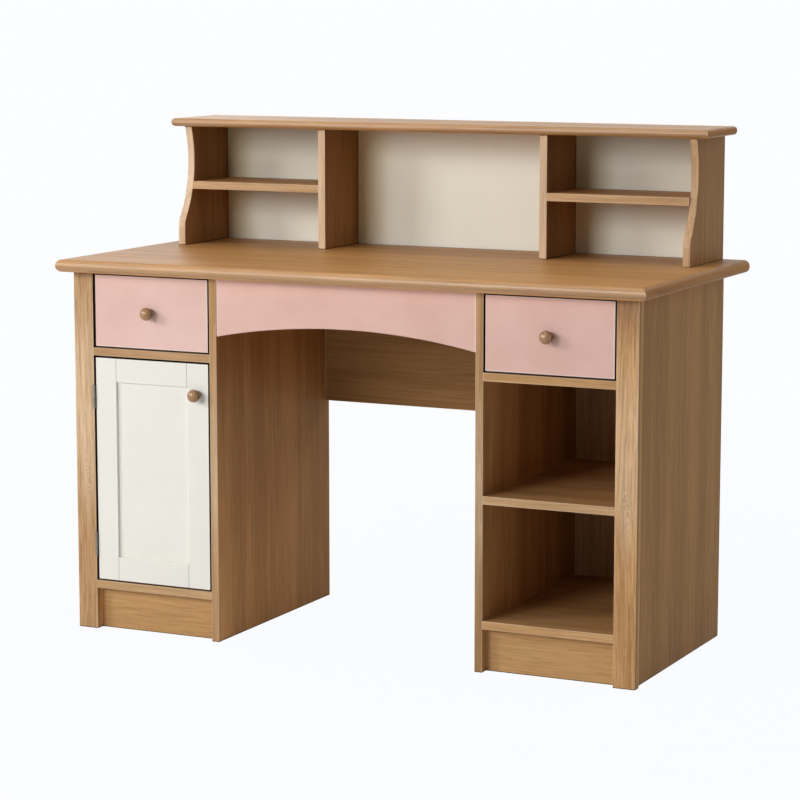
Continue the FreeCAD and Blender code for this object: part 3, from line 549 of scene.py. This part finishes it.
def paintMaterial(name, look, box, seed, gapShadeRim=None, jointed=False, bays=()):
    material, start = startMaterial(name)
    place = deskPlace(start)
    moved = place.plus([seed * part for part in brushwork["shift"]])
    clouds = moved.noise(brushwork["cloudScale"], brushwork["cloudDetail"], brushwork["cloudRoughness"])
    strokes = moved.times(brushwork["strokeStretch"]).noise(brushwork["strokeScale"])
    dimples = moved.noise(brushwork["dimpleScale"], roughness=brushwork["dimpleRoughness"])
    specks = moved.noise(brushwork["speckScale"], brushwork["speckDetail"], brushwork["speckRoughness"])
    share = (clouds.swing() * brushwork["cloudContrast"]
             + specks.swing() * brushwork["speckContrast"] + 0.5).between(0.0, 1.0)
    # painted highlight along the arrises
    arris = nearEdge(place, box, look["arrisWidth"], specks.swing() * brushwork["ragged"])
    arris = arris * look["arrisShare"]
    colour = arris.mixed(share.mixed(look["colour"], look["mottle"]), look["arris"])
    if jointed:
        joint = nearSides(
            place, box, (0,), look["tenon"] + brushwork["jointSoftness"], look["tenon"] + look["jointWidth"])
        colour = joint.mixed(colour, look["joint"])
    for low, high, shadeShare in bays:        # painted shade where little light falls: darker in the upper bays and toward each bay's left side
        inside = 1 - nearSides(place, (low, high), (0, 2), -brushwork["baySoftness"], 0.0)
        inside = inside * facesForward(start)
        if shadeShare:
            colour = (inside * shadeShare).mixed(colour, look["bayShade"])
        beside = inside - place.part(0).between(low.x, low.x + look["sideReach"])
        colour = (beside.most(0.0) * look["sideShare"]).mixed(colour, look["sideShade"])
    # painted shade on the edges and border of a front, where it faces the gaps
    if gapShadeRim:
        gapShade = nearSides(place, gapShadeRim, (0, 2), brushwork["gapShadeRimFrom"], brushwork["gapShadeRimTo"])
        colour = gapShade.mixed(colour, look["gapShadeRim"])

    roughness = (look["roughness"] + clouds.swing() * brushwork["cloudMatt"]
                 + dimples.swing() * brushwork["dimpleMatt"])
    height = dimples * brushwork["dimpleHeight"] + strokes * brushwork["strokeHeight"]
    finishSurface(start, colour, roughness, height, look)
    return material


steel = {
    "colour": (0.28, 0.255, 0.225),
    "dull": (0.18, 0.165, 0.145),
    "metal": 1.0,
    "roughness": 0.46,
    "bump": 0.15,
    "bumpDepth": 0.0001,
}
catchPlastic = {
    "colour": (0.50, 0.44, 0.36),
    "dull": (0.42, 0.37, 0.30),
    "roughness": 0.48,
    "bump": 0.20,
    "bumpDepth": 0.0001,
}
wear = {     # what the fittings have in common
    "scratchStretch": (1, 1, 0.04),
    "scratchScale": 2600.0,
    "scratchMatt": 0.25,
    "stainScale": 120.0,
    "stainDetail": 3.0,
    "stainRoughness": 0.6,
    "stainFrom": 0.35,
    "stainTo": 0.75,
    "stainMatt": 0.20,
}


def fittingMaterial(name, look):
    material, start = startMaterial(name)
    place = deskPlace(start)
    scratches = place.times(wear["scratchStretch"]).noise(wear["scratchScale"])
    stains = place.noise(wear["stainScale"], wear["stainDetail"], wear["stainRoughness"])
    colour = stains.between(wear["stainFrom"], wear["stainTo"]).mixed(look["colour"], look["dull"])
    roughness = (look["roughness"] + scratches.swing() * wear["scratchMatt"]
                 + stains.swing() * wear["stainMatt"])
    finishSurface(start, colour, roughness, scratches, look)
    return material


def dress(node, material):
    nodes[node].material_slots[0].material = material


# every oak board: the way its grain runs, its kind of oak and how light its faces are
boards = {
    "desk_top": ("x", topVeneer, 1.11),
    "hutch_top": ("x", hutchTopVeneer, 1.0),
    "modesty_panel": ("x", shadedVeneer, 0.75),
    "open_shelf": ("x", shadedVeneer, 0.92),
    "cupboard_shelf": ("x", oakVeneer, 1.0),
    "hutch_left_shelf": ("x", oakVeneer, 0.9),
    "hutch_right_shelf": ("x", oakVeneer, 0.9),
    "hutch_left_side": ("z", hutchVeneer, 0.74),
    "hutch_right_side": ("z", hutchEndVeneer, 0.88),
    "hutch_left_divider": ("z", hutchVeneer, 0.70),
    "hutch_right_divider": ("z", hutchVeneer, 0.66),
    "left_bottom_board": ("x", oakVeneer, 1.0),
    "right_bottom_board": ("x", bottomVeneer, 0.90),
    "left_divider_board": ("x", leftDividerVeneer, 1.0),
    "right_divider_board": ("x", rightDividerVeneer, 1.0),
    "left_plinth": ("x", plinthOak, 1.0),
    "right_plinth": ("x", plinthOak, 1.0),
    "left_corner_post": ("z", paleOak, 1.04),
    "right_corner_post": ("z", postOak, 1.16),
    "left_outer_side": ("z", oakVeneer, 0.96),
    "right_outer_side": ("z", oakVeneer, 1.02),
    "left_inner_side": ("z", kneeVeneer, 1.04),
    "right_inner_side": ("z", innerVeneer, 1.0),
    "left_back_board": ("z", oakVeneer, 1.0),
    "right_back_board": ("z", backVeneer, 1.0),
}
knots = {     # metres to the right and up from the lower left corner of a post's face
    "left_corner_post": ((0.022, 0.340), (0.028, 0.300)),
    "right_corner_post": ((0.019, 0.355), (0.026, 0.318)),
}
# which boards have a dark joint line with painted contact shade at head and foot, which ones where the
# hutch's back panel meets their right face or their top, and which ones along their back edge
uprights = (
    "hutch_left_side", "hutch_right_side", "hutch_left_divider", "hutch_right_divider", "left_corner_post",
    "right_corner_post", "left_inner_side", "right_inner_side", "left_outer_side", "right_outer_side",
    "left_plinth", "right_plinth")
besidePanel = ("hutch_left_side", "hutch_left_divider", "hutch_right_divider")
underPanel = ("desk_top", "hutch_left_shelf", "hutch_right_shelf")
darkBacks = ("hutch_right_side", "right_outer_side")
# the boards with painted shade beside a gap, and the board at the gap's lower end
besideGaps = {"left_corner_post": "left_bottom_board", "right_inner_side": "right_divider_board"}
seamAndShadeSize = {
    "height": 0.0014,      # of the lines at the head and foot of an upright
    "depth": 0.0032,       # of those at its back, and twice that on what lies flat
    "proud": 0.0010,       # how far past its board's surface each of them is measured
    "gapBack": 0.0200,     # how far in the painted shade beside a drawer or the door goes
    "gapFront": 0.0008,
}


def knotPlaces(node):
    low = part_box(node)[0]
    return [low + Vector((right, 0, up)) for right, up in knots.get(node, ())]


def seamAndShadeMarks(size):
    # dark joint lines with painted contact shade where boards meet, and painted shade beside the gaps, as
    # (kind, low corner, high corner) lists by node
    marks = {node: [] for node in boards}
    proud = size["proud"]
    beyond = Vector((proud, proud, 0))
    panelLow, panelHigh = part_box("hutch_back_panel")
    for node in uprights:
        low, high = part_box(node)
        for level in (low.z, high.z - size["height"]):
            marks[node].append((
                "seamShade", Vector((low.x, low.y, level)) - beyond,
                Vector((high.x, high.y, level + size["height"])) + beyond))
    for node in besidePanel:
        low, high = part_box(node)
        marks[node].append((
            "seamShade", (high.x - proud, panelLow.y - size["depth"], low.z),
            (high.x + proud, panelLow.y, high.z)))
    for node in underPanel:
        low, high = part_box(node)
        left, right = max(low.x, panelLow.x), min(high.x, panelHigh.x)
        marks[node].append((
            "seamShade", (left, panelLow.y - 2 * size["depth"], high.z - proud),
            (right, panelLow.y, high.z + proud)))
    for node in darkBacks:
        low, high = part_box(node)
        marks[node].append((
            "seamShade", (high.x - proud, high.y - size["depth"], low.z),
            (high.x + proud, high.y + proud, high.z)))
    for node, bottom in besideGaps.items():
        low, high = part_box(node)
        front = low.y + size["gapFront"]
        marks[node].append((
            "gapShade", (high.x - proud / 2, front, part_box(bottom)[0].z),
            (high.x + proud, front + size["gapBack"], high.z)))
    return marks


# each material's pattern starts at its own place, which its seed sets
seeds = {
    "boards": 1,
    "hardwood": 40,
    "apron": 1,
    "drawerFronts": 2,
    "door": 11,
    "backPanel": 16,
    "knobs": 1,
}
hardwoodPieces = {     # the way their grain runs
    "dowels": "x",
    "drawer_stops": "x",
    "left_drawer_runners": "y",
    "right_drawer_runners": "y",
}
drawerBox = {     # the same and the left drawer's seed; the right one's is 1 more
    "left_side": ("y", 69),
    "right_side": ("y", 70),
    "back": ("x", 64),
    "bottom": ("x", 66),
}

marks = seamAndShadeMarks(seamAndShadeSize)
for seed, (node, (along, look, tone)) in enumerate(boards.items(), seeds["boards"]):
    dress(node, woodMaterial(
        "oak-" + node, look, along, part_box(node), seed, tone, knotPlaces(node), marks[node]))
print("oak boards dressed:", len(boards))
for seed, (node, along) in enumerate(hardwoodPieces.items(), seeds["hardwood"]):
    dress(node, woodMaterial("hardwood-" + node, hardwood, along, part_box(node), seed))
for turn, side in enumerate(("left", "right")):
    for piece, (along, seed) in drawerBox.items():
        node = f"{side}_drawer_{piece}"
        dress(node, woodMaterial("birch-" + node, birch, along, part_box(node), seed + turn))
print("drawer boxes dressed")

# metres that each painted shade rim is wider on the left, and narrower on the right
gapShadeRims = {"left_drawer_front": 0.0026, "right_drawer_front": 0.0006, "door": 0.0016, "right": 0.0006}
drawerPaints = {"left_drawer_front": palePink, "right_drawer_front": pinkPaint}
doorPieces = ("hinge_stile", "latch_stile", "top_rail", "bottom_rail", "panel")


def gapShadeRimBox(name, low, high):
    return low + Vector((gapShadeRims[name], 0, 0)), high + Vector((gapShadeRims["right"], 0, 0))


def hutchBays(upperShare):
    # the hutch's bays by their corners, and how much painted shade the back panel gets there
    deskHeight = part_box("desk_top")[1].z
    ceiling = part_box("hutch_top")[0].z
    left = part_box("hutch_left_divider")[1].x
    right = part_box("hutch_right_divider")[0].x
    bays = [(Vector((left, 0, deskHeight)), Vector((right, 0, ceiling)), 0.0)]
    for side in ("left", "right"):
        low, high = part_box(f"hutch_{side}_shelf")
        bays.append((Vector((low.x, 0, high.z)), Vector((high.x, 0, ceiling)), upperShare))
        bays.append((Vector((low.x, 0, deskHeight)), Vector((high.x, 0, low.z)), 0.0))
    return bays


dress("front_apron", paintMaterial(
    "pink-front_apron", pinkPaint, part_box("front_apron"), seeds["apron"]))
for seed, (node, look) in enumerate(drawerPaints.items(), seeds["drawerFronts"]):
    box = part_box(node)
    dress(node, paintMaterial("pink-" + node, look, box, seed, gapShadeRimBox(node, *box)))
doorGapShadeRim = gapShadeRimBox("door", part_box("door_hinge_stile")[0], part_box("door_latch_stile")[1])
for seed, piece in enumerate(doorPieces, seeds["door"]):
    node = "door_" + piece
    jointed = piece.endswith("rail")
    dress(node, paintMaterial("cream-" + node, creamPaint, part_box(node), seed, doorGapShadeRim, jointed))
dress("hutch_back_panel", paintMaterial(
    "cream-hutch_back_panel", backPaint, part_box("hutch_back_panel"), seeds["backPanel"],
    bays=hutchBays(backPaint["upperShare"])))
print("painted pieces dressed")

steelPieces = (
    "hinge_frame_leaves", "hinge_door_leaves", "hinge_pins", "hinge_frame_screws", "hinge_door_screws",
    "shelf_pegs", "door_strike", "left_drawer_knob_screw", "right_drawer_knob_screw", "door_knob_screw")
steelMaterial = fittingMaterial("steel", steel)
for node in steelPieces:
    dress(node, steelMaterial)
dress("door_catch", fittingMaterial("catch", catchPlastic))
print("fittings dressed")

knobShape = {
    "turns": 56,           # points in each ring
    # how far out from the front, and radius there, in mm
    "profile": (
        (0.0, 8.5), (1.4, 8.8), (2.6, 8.3), (3.6, 7.0), (5.2, 6.3), (7.0, 6.7), (8.8, 8.6), (11.2, 11.0),
        (14.0, 12.4), (17.2, 12.75), (20.4, 12.2), (23.4, 10.4), (25.8, 7.7), (27.3, 4.4), (28.0, 0.0),
    ),
    "steps": 4,            # of the curve between two of these points
    "perMetre": 1000,      # millimetres, which the profile is in
}
knobWood = {
    "dark": (0.255, 0.118, 0.034),
    "light": (0.480, 0.252, 0.094),
    "shareFrom": 0.2,
    "shareTo": 0.9,
    "shift": (0.31, 0.17, 0.23),           # metres that each seed moves the pattern
    "ringStretch": (1, 0.35, 0.22),
    "ringScale": 70.0,
    "ringDistortion": 6.0,
    "ringDetail": 2.0,
    "ringShare": 0.30,
    "fibreStretch": (1, 1, 0.08),
    "fibreScale": 1500.0,
    "fibreShare": 0.70,
    "fibreMatt": 0.14,
    "flankShade": (0.110, 0.050, 0.020),        # painted shade round the knob's sides
    "flankTo": 0.45,                       # how squarely the surface faces front where it ends
    "flankShadeShare": 0.8,
    "roughness": 0.28,
    "bump": 0.12,
    "bumpDepth": 0.0001,
    "shine": 0.35,
    "coat": 1.0,
    "coatRoughness": 0.26,
}


def knobMaterial(name, look, middle, seed):
    material, start = startMaterial(name)
    moved = deskPlace(start).plus(-middle).plus([seed * part for part in look["shift"]])
    rings = moved.node(
        "TexWave", {"wave_type": "BANDS", "bands_direction": "X"},
        {"Vector": moved.times(look["ringStretch"]), "Scale": look["ringScale"],
         "Distortion": look["ringDistortion"], "Detail": look["ringDetail"]})
    fibres = moved.times(look["fibreStretch"]).noise(look["fibreScale"])
    share = rings * look["ringShare"] + fibres * look["fibreShare"]
    colour = share.between(look["shareFrom"], look["shareTo"]).mixed(look["dark"], look["light"])
    # painted shade round the knob's sides, where they turn away from the front
    flankShade = 1 - (0 - surfaceNormal(start).part(1)).between(0.0, look["flankTo"])
    colour = (flankShade * look["flankShadeShare"]).mixed(colour, look["flankShade"])
    roughness = look["roughness"] + fibres.swing() * look["fibreMatt"]
    finishSurface(start, colour, roughness, fibres, look, (1 - flankShade) * look["coat"])
    return material


def smoothProfile(points, steps):
    # a curve through every point, as (distance, radius) pairs
    points = [Vector(point) for point in points]
    padded = [points[0] * 2 - points[1]] + points + [points[-1] * 2 - points[-2]]
    curve = []
    for before, start, end, after in zip(padded, padded[1:], padded[2:], padded[3:]):
        for step in range(steps):
            share = step / steps
            curve.append(0.5 * (
                2 * start + (end - before) * share
                + (2 * before - 5 * start + 4 * end - after) * share ** 2
                + (3 * start - before - 3 * end + after) * share ** 3
            ))
    return curve + [points[-1]]


def turnedMesh(name, shape, middle):
    # rings of points from the front outward, then the tip and the middle of the foot
    curve = smoothProfile(shape["profile"], shape["steps"])
    reach = curve.pop()[0]
    turns = shape["turns"]
    points = []
    for distance, radius in curve:
        for turn in range(turns):
            angle = 2 * math.pi * turn / turns
            around = Vector((radius * math.cos(angle), -distance, radius * math.sin(angle)))
            points.append(middle + around / shape["perMetre"])
    tip = len(points)
    foot = tip + 1
    points += [middle + Vector((0, -reach / shape["perMetre"], 0)), middle]
    last = tip - turns
    faces = []
    for ring in range(0, last, turns):
        for turn in range(turns):
            beside = (turn + 1) % turns
            faces.append((ring + turn, ring + beside, ring + turns + beside, ring + turns + turn))
    for turn in range(turns):
        beside = (turn + 1) % turns
        faces.append((last + turn, last + beside, tip))
        faces.append((beside, turn, foot))
    mesh = bpy.data.meshes.new(name)
    mesh.from_pydata(points, [], faces)
    for face in mesh.polygons:
        face.use_smooth = True
    return mesh


def turnedKnob(name, node, body, shape, look, seed):
    low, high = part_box(node)
    middle = Vector(((low.x + high.x) / 2, high.y, (low.z + high.z) / 2))
    mesh = turnedMesh(name, shape, middle)
    mesh.materials.append(knobMaterial(name, look, middle, seed))
    knob = bpy.data.objects.new(name, mesh)
    bpy.context.scene.collection.objects.link(knob)
    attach(knob, body)
    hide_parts(node)


knobs = {     # the piece that each replaces, and the body that it moves with
    "turned_knob_left": ("left_drawer_knob", "left_drawer"),
    "turned_knob_right": ("right_drawer_knob", "right_drawer"),
    "turned_knob_door": ("door_knob", "door"),
}
for seed, (name, (node, body)) in enumerate(knobs.items(), seeds["knobs"]):
    turnedKnob(name, node, body, knobShape, knobWood, seed)
print("knobs turned")

studio = {
    "white": (0.975, 0.984, 1.0),
    "ambient": (0.95, 0.97, 1.0),
    "ambientStrength": 0.17,
    "floor": (0.82, 0.82, 0.82),
    "floorMottle": (0.8036, 0.8036, 0.8036),
    "mottleScale": 30.0,
    "mottleDetail": 3.0,
    "floorWhite": 0.975,         # share of plain white near the desk
    "fadeStart": 1.0,            # metres from the desk's middle
    "fadeEnd": 3.5,
    "floorReach": 40,
    "floorDrop": 0.0004,         # keeps the floor clear of the desk's feet
}


def seenDirectly(start):
    # 1 where the camera, a reflection or glass looks at it
    seen = start.node("LightPath", {}, {}, "Is Camera Ray")
    for ray in ("Is Glossy Ray", "Is Transmission Ray"):
        seen = seen.most(start.node("LightPath", {}, {}, ray))
    return seen


def layFloor(studio):
    reach = studio["floorReach"]
    mesh = bpy.data.meshes.new("floor")
    corners = [(-reach, -reach, 0), (reach, -reach, 0), (reach, reach, 0), (-reach, reach, 0)]
    mesh.from_pydata(corners, [], [(0, 1, 2, 3)])
    floor = bpy.data.objects.new("floor", mesh)
    floor.location.z = -studio["floorDrop"]
    bpy.context.scene.collection.objects.link(floor)
    material, start = startMaterial("floor")
    place = deskPlace(start)
    fade = place.length().between(studio["fadeStart"], studio["fadeEnd"])
    share = seenDirectly(start) * (studio["floorWhite"] + fade * (1 - studio["floorWhite"]))
    mottle = place.noise(studio["mottleScale"], studio["mottleDetail"])
    matt = start.node("BsdfDiffuse", {}, {"Color": mottle.mixed(studio["floor"], studio["floorMottle"])})
    white = start.node("Emission", {}, {"Color": studio["white"], "Strength": 1.0})
    mixed = start.node("MixShader", {}, {0: share, 1: matt, 2: white})
    start.node("OutputMaterial", {}, {"Surface": mixed}, None)
    mesh.materials.append(material)


def lightWorld(studio):
    world = bpy.data.worlds.new("studio")
    world.use_nodes = True
    world.node_tree.nodes.clear()
    start = Wire(world.node_tree)
    dim = start.node(
        "Background", {}, {"Color": studio["ambient"], "Strength": studio["ambientStrength"]})
    white = start.node("Background", {}, {"Color": studio["white"], "Strength": 1.0})
    mixed = start.node("MixShader", {}, {0: seenDirectly(start), 1: dim, 2: white})
    start.node("OutputWorld", {}, {"Surface": mixed}, None)
    bpy.context.scene.world = world


# bearing and height in degrees as seen from the desk, distance and size in metres, power in watts
lamps = {
    "frontLamp": {"bearing": -18, "height": 17, "away": 6.0, "size": 2.2, "power": 145},
    "keyLamp": {"bearing": -50, "height": 20, "away": 6.0, "size": 1.5, "power": 105},
    "topLamp": {"bearing": 0, "height": 85, "away": 5.0, "size": 2.5, "power": 66},
    "backLeftLamp": {"bearing": -138, "height": 26, "away": 5.5, "size": 2.0, "power": 22},
    "backRightLamp": {"bearing": 140, "height": 30, "away": 5.5, "size": 2.0, "power": 24},
}
lampTarget = Vector((0, 0, 0.5))


def hangLamp(name, lamp):
    light = bpy.data.lights.new(name, "AREA")
    light.shape = "SQUARE"
    light.size = lamp["size"]
    light.energy = lamp["power"]
    bearing = math.radians(lamp["bearing"])
    height = math.radians(lamp["height"])
    toward = Vector((
        math.sin(bearing) * math.cos(height), -math.cos(bearing) * math.cos(height), math.sin(height)))
    made = bpy.data.objects.new(name, light)
    made.location = lampTarget + toward * lamp["away"]
    made.rotation_euler = (-toward).to_track_quat("-Z", "Y").to_euler()
    bpy.context.scene.collection.objects.link(made)


layFloor(studio)
lightWorld(studio)
for name, lamp in lamps.items():
    hangLamp(name, lamp)
print("studio lit")

print("scene ready")
